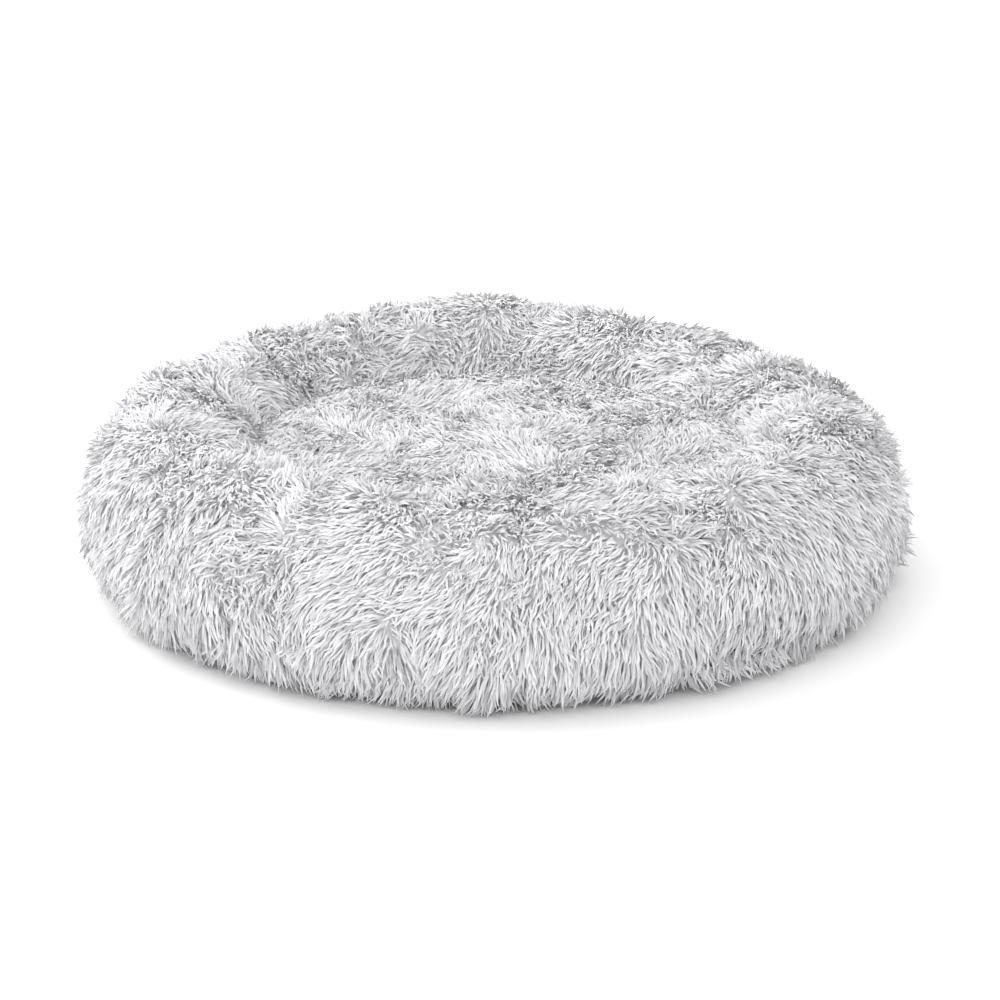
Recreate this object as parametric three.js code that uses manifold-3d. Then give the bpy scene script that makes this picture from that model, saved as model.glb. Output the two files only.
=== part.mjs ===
// A round pet bed: a fibre-filled ring of shaggy plush round a high, domed centre cushion.
// Millimetres, +Z up, the origin on the floor under the middle of the bed.
import * as THREE from "three";
import { mergeVertices } from "three/addons/utils/BufferGeometryUtils.js";
import Module from "manifold-3d";

// ---- driving dimensions ----
const bedRadius = 570; // to the pile tips at the widest line
const bedHeight = 262;
const crestRadius = 442;
const widestHeight = 105;
const wellReach = 140; // from the crest in to the wall of the well
const ringPower = 2 / 2.25; // 1 would make the ring's section an ellipse
const skirtDrop = 155; // the hanging pile aims this far under the widest line
const skirtTipHeight = 3;
const skirtWidth = 9;
const pileDepth = 24;

const panelCount = 12;
const ringSteps = 36; // facets round the whole bed
const sectionStep = 15; // degrees between a section's points, alike in every layer
const seamAngle = 150; // where the plush of the ring meets the centre's, round the section
const hemAngle = -45; // where the plush ends under the ring
const floorAngle = -90;
const middleCrown = 206; // pile tips at the middle of the centre cushion
const middleEdge = 184; // and at its edge
const middleShoulder = 14; // the centre insert's side stops this far under the inner seam
const clothThickness = 1.2;
const baseThickness = 1.6;
const gap = 0.4; // between two pieces that lie on each other
const zipRoom = 4; // the ring insert keeps this much farther from the cover along the zip

const slit = { angle: 15, bottom: 60, top: 78, reach: 8 }; // where the liners were stuffed

const zip = {
  sectionAngle: -54, // round the ring's section
  start: 25, // degrees round the bed
  end: 155,
  step: 2.5,
  tapeReach: 9.5, // from the middle of the zip to a tape's outer edge
  tapeThickness: 0.8,
  toothReach: 2.7,
  toothInner: 0.7,
  toothHeight: 2.8,
  stopLength: 0.5, // degrees
  sliderParked: 153.4, // degrees round the bed, closed
};
const slider = { length: 12, width: 8.6, plate: 1.2, clearance: 0.4, post: 0.35, postLength: 3.4 };
const bridge = { length: 6, width: 1.3, height: 2.9, hole: 1.7 };
const pull = { bar: 0.9, barLength: 4.9, arm: 1.3, armLength: 4.2, plateLength: 9.5, plateWidth: 6.4 };
const pullThickness = 1.1;

// ---- small helpers ----
const wasm = await Module();
wasm.setup();
const bed = new THREE.Group();
const radians = THREE.MathUtils.degToRad;
const stretched = (x) => Math.sign(x) * Math.abs(x) ** ringPower;

function look(color, roughness, metalness = 0) {
  return { color, roughness, metalness };
}

const plushLook = look(0xdcdcdf, 0.95);
const linerLook = look(0xe9e7e2, 0.9);
const fibreLook = look(0xf4f4f2, 1);
const baseLook = look(0x8f9196, 0.8);
const threadLook = look(0xc9cacd, 0.8);
const zipLook = look(0xa9abb0, 0.7);
const metalLook = look(0x9a9ca0, 0.35, 1);
const labelLook = look(0xf2f1ee, 0.85);

function solidOf(geometry) {
  const bare = geometry.clone();
  bare.deleteAttribute("normal");
  bare.deleteAttribute("uv");
  const merged = mergeVertices(bare, 1e-4);
  const vertProperties = new Float32Array(merged.attributes.position.array);
  const triVerts = new Uint32Array(merged.index.array);
  return new wasm.Manifold(new wasm.Mesh({ numProp: 3, vertProperties, triVerts }));
}

function geometryOf(solid) {
  const mesh = solid.getMesh();
  const geometry = new THREE.BufferGeometry();
  geometry.setAttribute("position", new THREE.BufferAttribute(mesh.vertProperties, 3));
  geometry.setIndex(new THREE.BufferAttribute(mesh.triVerts, 1));
  return geometry;
}

function addPiece(name, geometry, material, parent = bed) {
  const mesh = new THREE.Mesh(geometry, new THREE.MeshStandardMaterial(material));
  mesh.name = name;
  parent.add(mesh);
  return mesh;
}

// A closed section, given as points (distance from the axis, height), carried round the bed.
function ringSector(section, from, to, steps) {
  const shape = new THREE.Shape(section);
  const geometry = new THREE.ExtrudeGeometry(shape, { depth: 1, steps, bevelEnabled: false });
  const position = geometry.attributes.position;
  for (let i = 0; i < position.count; i += 1) {
    const angle = radians(to + (from - to) * position.getZ(i));
    const radius = position.getX(i);
    position.setXYZ(i, radius * Math.cos(angle), radius * Math.sin(angle), position.getY(i));
  }
  return geometry;
}

// The same all the way round; a section on the axis starts and ends there.
function fullRing(section) {
  const onAxis = section[0].x === 0;
  const profile = onAxis ? section : [...section, section[0]];
  return new THREE.LatheGeometry(profile, ringSteps).rotateX(Math.PI / 2);
}

// ---- the ring's section ----
// Angles go round it in degrees: -90 on the floor, 0 at the widest line, 90 at the crest, 180 at the well.
function roundSection(angle, inset, drop) {
  const across = Math.cos(radians(angle));
  const up = Math.sin(radians(angle));
  const reach = (across > 0 ? bedRadius - crestRadius : wellReach) - inset;
  const rise = up > 0 ? bedHeight - widestHeight - inset : drop;
  return new THREE.Vector2(
    crestRadius + reach * stretched(across),
    widestHeight + rise * stretched(up),
  );
}

const pileTip = (angle) => roundSection(angle, 0, skirtDrop);

// The plush's woven back, moved out of the ring by `out` along its own normal.
function backing(angle, out = 0) {
  const drop = widestHeight - baseThickness;
  const point = roundSection(angle, pileDepth, drop);
  const along = roundSection(angle + 0.5, pileDepth, drop).sub(roundSection(angle - 0.5, pileDepth, drop));
  along.normalize();
  return point.add(new THREE.Vector2(along.y, -along.x).multiplyScalar(out));
}

function sweep(pointAt, from, to, count) {
  return Array.from({ length: count + 1 }, (_, i) => pointAt(from + ((to - from) * i) / count));
}

function layer(pointAt, from, to) {
  return sweep(pointAt, from, to, Math.abs(to - from) / sectionStep);
}

// The centre cushion's pile tips and its woven back are shallow domes that drop away at the edge.
function dome(edgeRadius, edge, crown) {
  return (radius) => new THREE.Vector2(radius, edge + (crown - edge) * (1 - (radius / edgeRadius) ** 4));
}

const middleRadius = pileTip(seamAngle).x - gap;
const middleTips = dome(middleRadius, middleEdge, middleCrown);
const middleBackRadius = backing(seamAngle, gap).x - gap;
const middleBackEdge = backing(seamAngle, gap).y - gap;
const middleBack = dome(middleBackRadius, middleBackEdge, middleCrown - pileDepth);

// ---- plush cover ----
function rimPanelSection() {
  const skirtAngle = -THREE.MathUtils.radToDeg(
    Math.asin(((widestHeight - skirtTipHeight) / skirtDrop) ** (1 / ringPower)),
  );
  const skirt = pileTip(skirtAngle);
  const tips = layer(pileTip, hemAngle + sectionStep, seamAngle);
  const back = layer((angle) => backing(angle, gap), seamAngle, hemAngle);
  const skirtEdge = new THREE.Vector2(skirt.x - skirtWidth, skirtTipHeight);
  return [skirt, ...tips, ...back, skirtEdge];
}

function addRimPanels() {
  const section = rimPanelSection();
  const first = hemAngle + sectionStep;
  const last = seamAngle - sectionStep;
  const seamTape = [
    ...layer((angle) => backing(angle, -gap), first, last),
    ...layer((angle) => backing(angle, -gap - clothThickness), last, first),
  ];
  const width = 360 / panelCount;
  const openSeam = 0.05;
  const tapeWidth = 0.7;
  for (let i = 0; i < panelCount; i += 1) {
    const from = i * width;
    const panel = ringSector(section, from + openSeam, from + width - openSeam, ringSteps / panelCount);
    addPiece(`rim_panel_${i + 1}`, panel, plushLook);
    const tape = ringSector(seamTape, from - tapeWidth, from + tapeWidth, 2);
    addPiece(`rim_seam_tape_${i + 1}`, tape, threadLook);
  }
}

function addCentrePanel() {
  const under = sweep(middleBack, 0, middleBackRadius, 8);
  const top = sweep(middleTips, middleRadius, 0, 8);
  addPiece("centre_panel", fullRing([...under, ...top]), plushLook);
}

function box(fromR, toR, fromZ, toZ) {
  return [
    new THREE.Vector2(fromR, fromZ),
    new THREE.Vector2(toR, fromZ),
    new THREE.Vector2(toR, toZ),
    new THREE.Vector2(fromR, toZ),
  ];
}

// The wall between the ring and the centre, which holds the inner seam down.
const wallRadius = backing(seamAngle).x;
const wallTop = backing(seamAngle).y - 4;
const wallThickness = 1.2;
function addInnerWall() {
  const section = box(wallRadius, wallRadius + wallThickness, baseThickness + gap, wallTop);
  addPiece("inner_wall", fullRing(section), baseLook);
}

function addInnerSeamTape() {
  const inside = wallRadius - gap - clothThickness;
  const section = box(inside, wallRadius - gap, wallTop - 14, wallTop - 1);
  addPiece("inner_seam_tape", fullRing(section), threadLook);
}

// ---- base panel, cut away where the zip runs ----
const zipMiddle = backing(zip.sectionAngle);
const zipAcross = backing(zip.sectionAngle + 0.5).sub(backing(zip.sectionAngle - 0.5)).normalize();
const zipOut = new THREE.Vector2(zipAcross.y, -zipAcross.x);

// A point of the zip's section: `across` from the base side to the plush side, `out` of the cover.
function zipPoint(across, out) {
  return zipMiddle.clone().addScaledVector(zipAcross, across).addScaledVector(zipOut, out);
}

function zipBlock(fromAcross, toAcross, fromOut, toOut) {
  return [
    zipPoint(fromAcross, fromOut),
    zipPoint(fromAcross, toOut),
    zipPoint(toAcross, toOut),
    zipPoint(toAcross, fromOut),
  ];
}

function zipSteps(from, to) {
  return Math.max(1, Math.round((to - from) / zip.step));
}

function addBasePanel() {
  const hem = (out) => backing(hemAngle, out).addScaledVector(zipAcross, -gap * 2);
  const outside = layer((angle) => backing(angle, baseThickness), floorAngle, hemAngle - sectionStep);
  const inside = layer((angle) => backing(angle), hemAngle - sectionStep, floorAngle);
  const axisTop = new THREE.Vector2(0, baseThickness);
  const section = [new THREE.Vector2(0, 0), ...outside, hem(baseThickness), hem(0), ...inside, axisTop];
  const slot = zipBlock(-zip.tapeReach - gap, 40, -12, 12);
  const cutter = ringSector(slot, zip.start - 2, zip.end + 2, zipSteps(zip.start - 2, zip.end + 2));
  const solid = solidOf(fullRing(section)).subtract(solidOf(cutter));
  addPiece("base_panel", geometryOf(solid), baseLook);
}

// ---- the two inserts: a sewn liner with a stuffing slit, full of fibre ----
function ringInsertSection(inset) {
  const loose = (angle) => (angle <= hemAngle && angle > hemAngle - 2 * sectionStep ? zipRoom : 0);
  const round = layer((angle) => backing(angle, -inset - loose(angle)), floorAngle, seamAngle - sectionStep);
  const inner = wallRadius + wallThickness + inset;
  const shoulder = new THREE.Vector2(inner, wallTop - inset);
  return [new THREE.Vector2(inner, baseThickness + inset), ...round, shoulder];
}

function middleInsertSection(inset) {
  const outer = wallRadius - gap * 2 - clothThickness - inset;
  const floorHeight = baseThickness + inset;
  const edgeTop = wallTop - middleShoulder - inset;
  const top = sweep(middleBack, outer * 0.94, 0, 5);
  for (const point of top) point.y -= inset + gap;
  const edge = [new THREE.Vector2(outer, floorHeight), new THREE.Vector2(outer, edgeTop)];
  return [new THREE.Vector2(0, floorHeight), ...edge, ...top];
}

// Cuts the stuffing slit through a liner's side wall and adds the sewn strip that closes it.
function addLiner(name, outside, inside, slitRadius) {
  const half = slit.angle / 2;
  const { bottom: slitBottom, top: slitTop, reach } = slit;
  const cut = box(slitRadius - reach, slitRadius + reach, slitBottom, slitTop);
  const cutter = solidOf(ringSector(cut, 90 - half, 90 + half, 2));
  const shell = solidOf(outside).subtract(solidOf(inside));
  addPiece(name, geometryOf(shell.subtract(cutter)), linerLook);
  const inner = box(slitRadius - reach, slitRadius + reach, slitBottom + gap, slitTop - gap);
  const trim = THREE.MathUtils.radToDeg(gap / slitRadius);
  const plug = solidOf(ringSector(inner, 90 - half + trim, 90 + half - trim, 2));
  addPiece(`${name}_stitch`, geometryOf(shell.intersect(plug)), threadLook);
}

function addRingInsert() {
  const clear = gap * 2 + clothThickness;
  const outside = fullRing(ringInsertSection(clear));
  const inside = fullRing(ringInsertSection(clear + clothThickness));
  const slitRadius = wallRadius + wallThickness + clear;
  addLiner("rim_liner", outside, inside, slitRadius);
  addPiece("rim_fill", fullRing(ringInsertSection(clear + clothThickness + gap)), fibreLook);
}

function addMiddleInsert() {
  const section = (inset) => fullRing(middleInsertSection(inset));
  const slitRadius = wallRadius - gap * 3 - clothThickness;
  addLiner("centre_liner", section(gap), section(gap + clothThickness), slitRadius);
  addPiece("centre_fill", section(gap * 2 + clothThickness), fibreLook);
}

// ---- zip ----
function addZipStrip(name, block, from, to, material) {
  addPiece(name, ringSector(block, from, to, zipSteps(from, to)), material);
}

function addZip() {
  const { start, end, tapeReach, toothReach, toothInner, toothHeight } = zip;
  const halfTape = zip.tapeThickness / 2;
  const halfTooth = toothHeight / 2;
  const seat = toothReach + gap;
  const baseTape = zipBlock(-tapeReach, -seat, -halfTape, halfTape);
  const plushTape = zipBlock(seat, tapeReach - 1, -halfTape, halfTape);
  addZipStrip("zip_tape_base", baseTape, start, end, zipLook);
  addZipStrip("zip_tape_rim", plushTape, start, end, zipLook);
  const first = start + zip.stopLength * 2;
  const last = end - zip.stopLength * 2;
  const baseTeeth = zipBlock(-toothReach, -toothInner, -halfTooth, halfTooth);
  const plushTeeth = zipBlock(toothInner, toothReach, -halfTooth, halfTooth);
  addZipStrip("zip_teeth_base", baseTeeth, first, last, zipLook);
  addZipStrip("zip_teeth_rim", plushTeeth, first, last, zipLook);
  const stop = zipBlock(-toothReach, toothReach, -halfTooth, halfTooth);
  const stopGap = 0.1;
  addZipStrip("zip_stop_start", stop, start + zip.stopLength, first - stopGap, metalLook);
  addZipStrip("zip_stop_end", stop, last + stopGap, end - zip.stopLength, metalLook);
}

function block(width, depth, height, x, y, z) {
  return solidOf(new THREE.BoxGeometry(width, depth, height).translate(x, y, z));
}

// Drawn lying flat: X across the zip, Y along it, Z out of the cover.
function sliderSolid() {
  const halfOpen = zip.toothHeight / 2 + slider.clearance;
  const height = 2 * (halfOpen + slider.plate);
  const side = slider.width / 2;
  let solid = block(slider.width, slider.length, height, 0, 0, 0);
  for (const hand of [-1, 1]) {
    const middle = hand * (slider.post + side);
    solid = solid.subtract(block(2 * side, slider.length + 2, 2 * halfOpen, middle, 0, 0));
  }
  const openLength = slider.length - slider.postLength;
  const behind = -slider.postLength / 2;
  solid = solid.subtract(block(2 * slider.post + 1, openLength, 2 * halfOpen, 0, behind - 1, 0));
  const overlap = 0.2;
  const bridgeMiddle = height / 2 + bridge.height / 2 - overlap;
  solid = solid.add(block(bridge.width, bridge.length, bridge.height, 0, 0, bridgeMiddle));
  return solid.subtract(block(bridge.width + 1, bridge.hole, bridge.hole, 0, 0, pivotHeight()));
}

function pivotHeight() {
  return zip.toothHeight / 2 + slider.clearance + slider.plate + bridge.hole / 2 + 0.3;
}

// Hangs along +Z from a bar on X, which passes through the slider's bridge.
function pullSolid() {
  const { bar, barLength, arm, armLength, plateLength, plateWidth } = pull;
  let solid = block(barLength, bar, bar, 0, 0, 0);
  for (const hand of [-1, 1]) {
    const middle = hand * (barLength / 2 - arm / 2);
    solid = solid.add(block(arm, pullThickness, armLength, middle, 0, armLength / 2 - bar / 2));
  }
  const plateMiddle = armLength + plateLength / 2 - bar;
  solid = solid.add(block(plateWidth, pullThickness, plateLength, 0, 0, plateMiddle));
  const grip = new THREE.CylinderGeometry(1.3, 1.3, pullThickness * 2, 12);
  return solid.subtract(solidOf(grip.translate(0, 0, plateMiddle + plateLength / 4)));
}

function addSlider() {
  const place = new THREE.Group();
  const parked = new THREE.Matrix4().makeRotationZ(radians(zip.sliderParked));
  const across = new THREE.Vector3(zipAcross.x, 0, zipAcross.y);
  const out = new THREE.Vector3(zipOut.x, 0, zipOut.y);
  const along = new THREE.Vector3().crossVectors(out, across);
  const seat = new THREE.Matrix4().makeBasis(across, along, out);
  seat.setPosition(zipMiddle.x, 0, zipMiddle.y);
  place.applyMatrix4(parked.multiply(seat));
  bed.add(place);
  addPiece("zip_slider", geometryOf(sliderSolid()), metalLook, place);
  addPiece("zip_pull", geometryOf(pullSolid()), metalLook, place).position.z = pivotHeight();
}

// ---- care label, blank, sewn in at the hem ----
function addCareLabel() {
  const labelOut = baseThickness + 1.6;
  const labelThickness = 0.5;
  const top = hemAngle - 5;
  const low = top - 18;
  const section = [
    ...sweep((angle) => backing(angle, labelOut), top, low, 3),
    ...sweep((angle) => backing(angle, labelOut + labelThickness), low, top, 3),
  ];
  addPiece("care_label", ringSector(section.reverse(), 166, 170.4, 1), labelLook);
}

addRimPanels();
addCentrePanel();
addInnerWall();
addInnerSeamTape();
addBasePanel();
addRingInsert();
addMiddleInsert();
addZip();
addSlider();
addCareLabel();

export default bed;
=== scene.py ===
# %% [markdown]
# # A round plush bed for a pet
#
# The bed is a fat ring of long-pile plush, stuffed with loose fibre, round a domed cushion of the
# same plush. This notebook builds its looks round the engineering model: first the camera and the
# light, then the cloth shells, then about ninety thousand locks of pile, and at the end everything
# underneath and inside, such as the base cloth, the zip and the stuffed liners.

# %% Load the engineering model
import math

import bmesh
import bpy
import numpy as np
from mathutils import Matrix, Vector, noise


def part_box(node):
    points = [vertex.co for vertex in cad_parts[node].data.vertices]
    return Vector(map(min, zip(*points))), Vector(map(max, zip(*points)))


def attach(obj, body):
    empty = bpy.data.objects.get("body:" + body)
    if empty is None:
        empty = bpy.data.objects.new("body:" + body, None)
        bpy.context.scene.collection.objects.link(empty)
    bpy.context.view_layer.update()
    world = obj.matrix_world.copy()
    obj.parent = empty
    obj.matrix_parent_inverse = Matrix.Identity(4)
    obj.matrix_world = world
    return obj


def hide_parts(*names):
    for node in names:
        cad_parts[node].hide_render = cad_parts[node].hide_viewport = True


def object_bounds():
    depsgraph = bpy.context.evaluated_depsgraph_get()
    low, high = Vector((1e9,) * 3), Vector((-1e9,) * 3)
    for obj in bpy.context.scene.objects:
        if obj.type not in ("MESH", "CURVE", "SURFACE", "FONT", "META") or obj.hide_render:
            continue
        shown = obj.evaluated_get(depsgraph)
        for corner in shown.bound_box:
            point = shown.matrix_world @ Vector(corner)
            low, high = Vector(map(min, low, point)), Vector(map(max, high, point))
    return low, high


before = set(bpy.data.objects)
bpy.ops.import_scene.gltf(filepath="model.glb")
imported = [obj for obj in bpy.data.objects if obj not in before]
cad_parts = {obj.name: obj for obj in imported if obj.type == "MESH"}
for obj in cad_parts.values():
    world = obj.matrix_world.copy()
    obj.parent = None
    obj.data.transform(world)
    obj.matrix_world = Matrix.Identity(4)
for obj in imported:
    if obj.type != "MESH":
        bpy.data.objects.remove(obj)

cad_box = [list(corner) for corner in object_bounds()]
print("the bed measures", [round(high - low, 3) for low, high in zip(*cad_box)], "m")

# %% [markdown]
# The sizes come from the engineering model's own boxes. The ring's section is a rounded shape that
# is flatter than a circle, and one formula gives it: the angle goes round the section from the
# floor (-90) past the widest line (0) and the crest (90) to the wall of the well (180). Every layer
# of the ring, from the pile's tips down to the stuffing, is the same formula at another depth.

# %% Sizes and the ring's section
centre_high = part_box("centre_panel")[1]
wall_low, wall_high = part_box("inner_wall")
bed_radius, bed_height = cad_box[1][0], cad_box[1][2]
crest_radius = 0.442
widest_height = 0.105
well_reach = 0.140
pile_depth = 0.024
base_thickness = 0.0016
section_power = 2 / 2.25
hem_angle, seam_angle = -45.0, 150.0
panel_count = 12


def signed_power(x):
    return np.sign(x) * np.abs(x) ** section_power


def ring_section(angle, inset=pile_depth):
    """Distance from the bed's axis and height, for angles in degrees."""
    across, up = np.cos(np.radians(angle)), np.sin(np.radians(angle))
    reach = np.where(across > 0, bed_radius - crest_radius, well_reach) - inset
    rise = np.where(up > 0, bed_height - widest_height - inset, widest_height - base_thickness)
    return crest_radius + reach * signed_power(across), widest_height + rise * signed_power(up)


print("ring crest", crest_radius, "m from the axis, seam at", np.round(ring_section(seam_angle), 3))

# %% [markdown]
# The camera stands low in front of the bed with a long lens, as for a catalogue picture: the far
# side of the ring looks hardly smaller than the near side. The light is a bright, nearly shadowless
# studio: a big soft panel behind and to the left, a weak one in front, and a white sky and floor.

# %% Camera
camera_distance = 4.5
camera_elevation = math.radians(18.6)
aim = Vector((0.007, 0.0, 0.101))
camera_data = bpy.data.cameras.new("camera")
camera_data.lens = 117.1
camera_data.sensor_width = 36.0
camera = bpy.data.objects.new("camera", camera_data)
back_off = Vector((0, -math.cos(camera_elevation), math.sin(camera_elevation)))
camera.location = aim + back_off * camera_distance
camera.rotation_euler = (-back_off).to_track_quat("-Z", "Y").to_euler()
bpy.context.scene.collection.objects.link(camera)
bpy.context.scene.camera = camera


# %% Studio light and floor
def area_light(name, place, size, power):
    data = bpy.data.lights.new(name, "AREA")
    data.shape = "DISK"
    data.size = size
    data.energy = power
    lamp = bpy.data.objects.new(name, data)
    lamp.location = place
    lamp.rotation_euler = (Vector((0, 0, 0.1)) - Vector(place)).to_track_quat("-Z", "Y").to_euler()
    bpy.context.scene.collection.objects.link(lamp)


area_light("key panel", (-2.4, 0.9, 2.7), 3.0, 52)
area_light("front panel", (-1.0, -3.4, 1.4), 2.6, 14)

world = bpy.data.worlds.new("studio")
world.use_nodes = True
world.node_tree.nodes["Background"].inputs["Color"].default_value = (1, 1, 1, 1)
world.node_tree.nodes["Background"].inputs["Strength"].default_value = 1.25
bpy.context.scene.world = world
bpy.context.scene.view_settings.view_transform = "Standard"


# %% [markdown]
# Node trees are written as sums. A Wire is one output of a node, and arithmetic on wires adds the
# node that does it: a Math node for numbers, a Vector Math node as soon as a vector takes part.
# One method, node, adds any other node. The same class serves materials and Geometry Nodes.

# %% Wires
class Wire:
    def __init__(self, tree, socket):
        self.tree, self.socket = tree, socket

    @property
    def is_vector(self):
        return self.socket.type in ("VECTOR", "RGBA")

    def node(self, kind, settings=None, inputs=None, output=0):
        return add_node(self.tree, kind, settings, inputs, output)

    def sum_of(self, operation, first, second):
        vectors = [isinstance(x, tuple) or getattr(x, "is_vector", False) for x in (first, second)]
        kind = "ShaderNodeVectorMath" if any(vectors) else "ShaderNodeMath"
        if kind == "ShaderNodeVectorMath" and operation == "MULTIPLY" and not all(vectors):
            vector, number = (first, second) if vectors[0] else (second, first)
            return self.node(kind, {"operation": "SCALE"}, {0: vector, "Scale": number})
        return self.node(kind, {"operation": operation}, {0: first, 1: second})

    def __add__(self, other):
        return self.sum_of("ADD", self, other)

    def __radd__(self, other):
        return self.sum_of("ADD", other, self)

    def __sub__(self, other):
        return self.sum_of("SUBTRACT", self, other)

    def __rsub__(self, other):
        return self.sum_of("SUBTRACT", other, self)

    def __mul__(self, other):
        return self.sum_of("MULTIPLY", self, other)

    def __rmul__(self, other):
        return self.sum_of("MULTIPLY", other, self)

    def __pow__(self, other):
        return self.sum_of("POWER", self, other)


def feed(tree, socket, value):
    if isinstance(value, Wire):
        tree.links.new(value.socket, socket)
    else:
        socket.default_value = value


def add_node(tree, kind, settings=None, inputs=None, output=0):
    node = tree.nodes.new(kind)
    for name, value in (settings or {}).items():
        setattr(node, name, value)
    for name, value in (inputs or {}).items():
        feed(tree, node.inputs[name], value)
    return Wire(tree, node.outputs[output])


# %% [markdown]
# A finish is a Principled material. What is the same all over is set straight on its sockets, and
# what changes over the surface is wired to Base Color, Roughness or Normal.

# %% Finishes
class Finish:
    def __init__(self, name, **plain):
        self.material = bpy.data.materials.new(name)
        self.material.use_nodes = True
        self.tree = self.material.node_tree
        self.shader = self.tree.nodes["Principled BSDF"]
        for socket, value in plain.items():
            self.shader.inputs[socket.replace("_", " ")].default_value = value

    def node(self, kind, settings=None, inputs=None, output=0):
        return add_node(self.tree, kind, settings, inputs, output)

    def place(self):
        return self.node("ShaderNodeTexCoord", output="Object")

    def attribute(self, name, output="Fac"):
        return self.node("ShaderNodeAttribute", {"attribute_name": name}, output=output)

    def noise(self, scale, detail=3.0):
        inputs = {"Vector": self.place(), "Scale": scale, "Detail": detail}
        return self.node("ShaderNodeTexNoise", {}, inputs)

    def blend(self, share, first, second):
        """A Mix node from first to second, for colours."""
        mix = self.tree.nodes.new("ShaderNodeMix")
        mix.data_type = "RGBA"
        colours = [socket for socket in mix.inputs if socket.type == "RGBA"]
        feed(self.tree, mix.inputs["Factor"], share)
        for socket, value in zip(colours, (first, second)):
            feed(self.tree, socket, value if isinstance(value, Wire) else (*value, 1.0))
        return Wire(self.tree, next(s for s in mix.outputs if s.type == "RGBA"))

    def clamp(self, value, low=0.0, high=1.0):
        settings = {"interpolation_type": "LINEAR", "clamp": True}
        inputs = {"Value": value, "From Min": low, "From Max": high}
        return self.node("ShaderNodeMapRange", settings, inputs)

    def bump(self, height, strength, distance):
        inputs = {"Height": height, "Strength": strength, "Distance": distance}
        self.wear("Normal", self.node("ShaderNodeBump", {}, inputs, output="Normal"))

    def wear(self, socket, value):
        feed(self.tree, self.shader.inputs[socket], value)


def new_piece(name, vertices, faces, material):
    mesh = bpy.data.meshes.new(name)
    mesh.from_pydata([tuple(v) for v in vertices], [], [tuple(f) for f in faces])
    mesh.materials.append(material)
    mesh.polygons.foreach_set("use_smooth", [True] * len(mesh.polygons))
    mesh.update()
    piece = bpy.data.objects.new(name, mesh)
    bpy.context.scene.collection.objects.link(piece)
    return piece


def recalculated(piece):
    """Turns the faces of a closed mesh outwards."""
    shape = bmesh.new()
    shape.from_mesh(piece.data)
    bmesh.ops.recalc_face_normals(shape, faces=shape.faces)
    shape.to_mesh(piece.data)
    shape.free()
    return piece


# %% Floor
floor_finish = Finish("floor paint", Roughness=0.9)
floor_tone = floor_finish.noise(0.6)
floor_finish.wear("Base Color", floor_finish.blend(floor_tone, (0.96, 0.96, 0.96), (0.98, 0.98, 0.98)))
floor_reach = 30.0
floor_corners = [(-floor_reach, -floor_reach, 0), (floor_reach, -floor_reach, 0),
                 (floor_reach, floor_reach, 0), (-floor_reach, floor_reach, 0)]
floor = new_piece("floor", floor_corners, [(0, 1, 2, 3)], floor_finish.material)

# %% [markdown]
# ## The cover's woven back
#
# Plush is a woven cloth with pile on it, and the stuffing blows it up between the seams. So the
# back of the cover is a cloth simulation: a net of points on the ring's section, a little too
# small, is pinned along the hem, the inner seam and the twelve cross seams, and pressure swells it.
# The pile hides its wrinkles, so a coarse net is enough, and its points stay in rows and columns
# that every other layer can be built from.

# %% Swell the ring's cover
columns_per_panel = 20
columns = columns_per_panel * panel_count
row_angles = np.arange(hem_angle, seam_angle + 1, 5.0)
rows = len(row_angles)
column_angles = np.arange(columns) * 360.0 / columns
slack = 0.003
edge_hold = np.clip(np.minimum(np.arange(rows), rows - 1 - np.arange(rows)) / 4.0, 0, 1)


def ring_net(inset):
    """Points of the whole ring, as an array (column, row, xyz), inset by a depth for each row."""
    radius, height = ring_section(row_angles, inset)
    turn = np.radians(column_angles)[:, None]
    return np.stack([radius * np.cos(turn), radius * np.sin(turn), height + 0 * turn], axis=2)


def grid_faces(across, along, closed):
    """Faces of a net of `across` columns and `along` rows, its columns joined up if closed."""
    faces = []
    for i in range(across if closed else across - 1):
        j = (i + 1) % across
        faces += [(i * along + k, j * along + k, j * along + k + 1, i * along + k + 1)
                  for k in range(along - 1)]
    return faces


def swell(name, points, faces, pins, pressure, steps=20):
    """Blows up a net of points as cloth, with each point held as much as its pin says."""
    net = new_piece(name, points, faces, None)
    group = net.vertex_groups.new(name="pins")
    for index, hold in enumerate(pins):
        if hold > 0:
            group.add([index], float(hold), "REPLACE")
    cloth = net.modifiers.new("cloth", "CLOTH")
    cloth.settings.quality = 5
    cloth.settings.vertex_group_mass = "pins"
    cloth.settings.use_pressure = True
    cloth.settings.uniform_pressure_force = pressure
    cloth.settings.tension_stiffness = 12
    cloth.settings.compression_stiffness = 12
    cloth.settings.bending_stiffness = 0.6
    cloth.settings.shrink_min = -0.03
    cloth.settings.effector_weights.gravity = 0
    cloth.point_cache.frame_start, cloth.point_cache.frame_end = 1, steps
    scene = bpy.context.scene
    for step in range(1, steps + 1):
        scene.frame_set(step)
    swollen = net.evaluated_get(bpy.context.evaluated_depsgraph_get()).to_mesh()
    result = np.empty(len(swollen.vertices) * 3)
    swollen.vertices.foreach_get("co", result)
    scene.frame_set(1)
    bpy.data.objects.remove(net)
    return result.reshape(-1, 3)


def swollen_net(name, start, pins, pressure, most):
    """The net after swelling, with each point at most `most` metres from where it began."""
    flat = start.reshape(-1, 3)
    faces = grid_faces(start.shape[0], start.shape[1], True)
    moved = swell(name, flat, faces, pins.ravel(), pressure) - flat
    length = np.linalg.norm(moved, axis=1, keepdims=True)
    moved *= np.minimum(1.0, most / np.maximum(length, 1e-9))
    print(name, "swelled by up to", round(float(length.max()) * 1000, 1), "mm")
    return (flat + moved).reshape(start.shape)


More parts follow.
